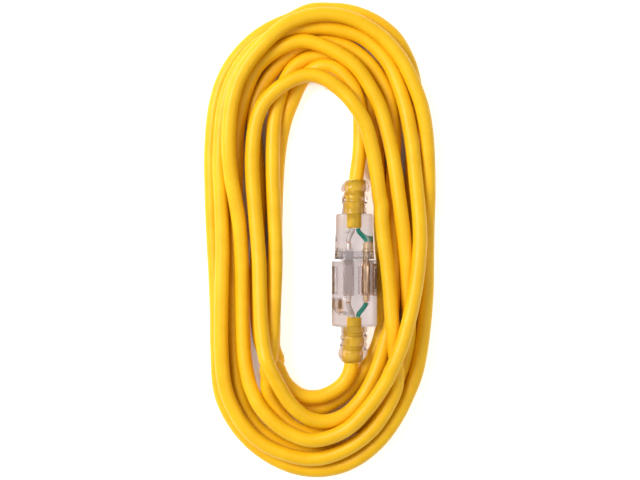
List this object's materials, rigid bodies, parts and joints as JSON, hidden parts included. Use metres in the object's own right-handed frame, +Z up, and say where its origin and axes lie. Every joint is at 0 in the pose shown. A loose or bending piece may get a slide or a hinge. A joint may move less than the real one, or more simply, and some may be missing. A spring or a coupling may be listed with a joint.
{
  "type": "extension cord",
  "caption": "Heavy-duty yellow extension cord in an oval coil, its clear moulded plug pushed into its own clear moulded connector.",
  "frame": {"origin": "on the surface the cord lies on, below the middle of the plug and connector as they are joined", "axes": "+Z up from the surface, +Y along the plug and connector from the connector towards the plug, +X across them"},
  "size_m": [0.1641, 0.3335, 0.034],
  "materials": {
    "clear_pvc": "clear moulded soft PVC",
    "yellow_jacket": "satin PVC jacket",
    "carrier_plastic": "translucent moulded plastic",
    "black_insulation": "satin PVC",
    "white_insulation": "satin PVC",
    "green_insulation": "satin PVC",
    "brass": "bright stamped brass",
    "lamp_glass": "amber lamp glass",
    "resistor_body": "lacquered",
    "tinned_wire": "tinned copper wire"
  },
  "bodies": {
    "connector": {"connector_housing": "clear_pvc", "connector_strain_relief": "clear_pvc", "connector_contact_carrier": "carrier_plastic", "contact_line": "brass", "contact_neutral": "brass", "contact_ground": "brass", "connector_wire_black": "black_insulation", "connector_wire_white": "white_insulation", "connector_wire_green": "green_insulation", "connector_cord_end": "yellow_jacket", "power_lamp": "lamp_glass", "lamp_resistor": "resistor_body", "lamp_lead_line": "tinned_wire", "lamp_lead_neutral": "tinned_wire", "lamp_link": "tinned_wire", "cord_coil": "yellow_jacket", "connector_lead": "yellow_jacket"},
    "plug": {"plug_housing": "clear_pvc", "plug_strain_relief": "clear_pvc", "plug_bridge": "carrier_plastic", "plug_blade_line": "brass", "plug_blade_neutral": "brass", "plug_ground_pin": "brass", "plug_wire_black": "black_insulation", "plug_wire_white": "white_insulation", "plug_wire_green": "green_insulation", "plug_cord_end": "yellow_jacket", "plug_lead": "yellow_jacket"}
  },
  "joints": [
    {"name": "plug_pull", "type": "slide", "parent": "connector", "child": "plug", "axis": [0, 1, 0], "range_m": [0, 0.02], "deforming": ["plug_lead"]}
  ]
}
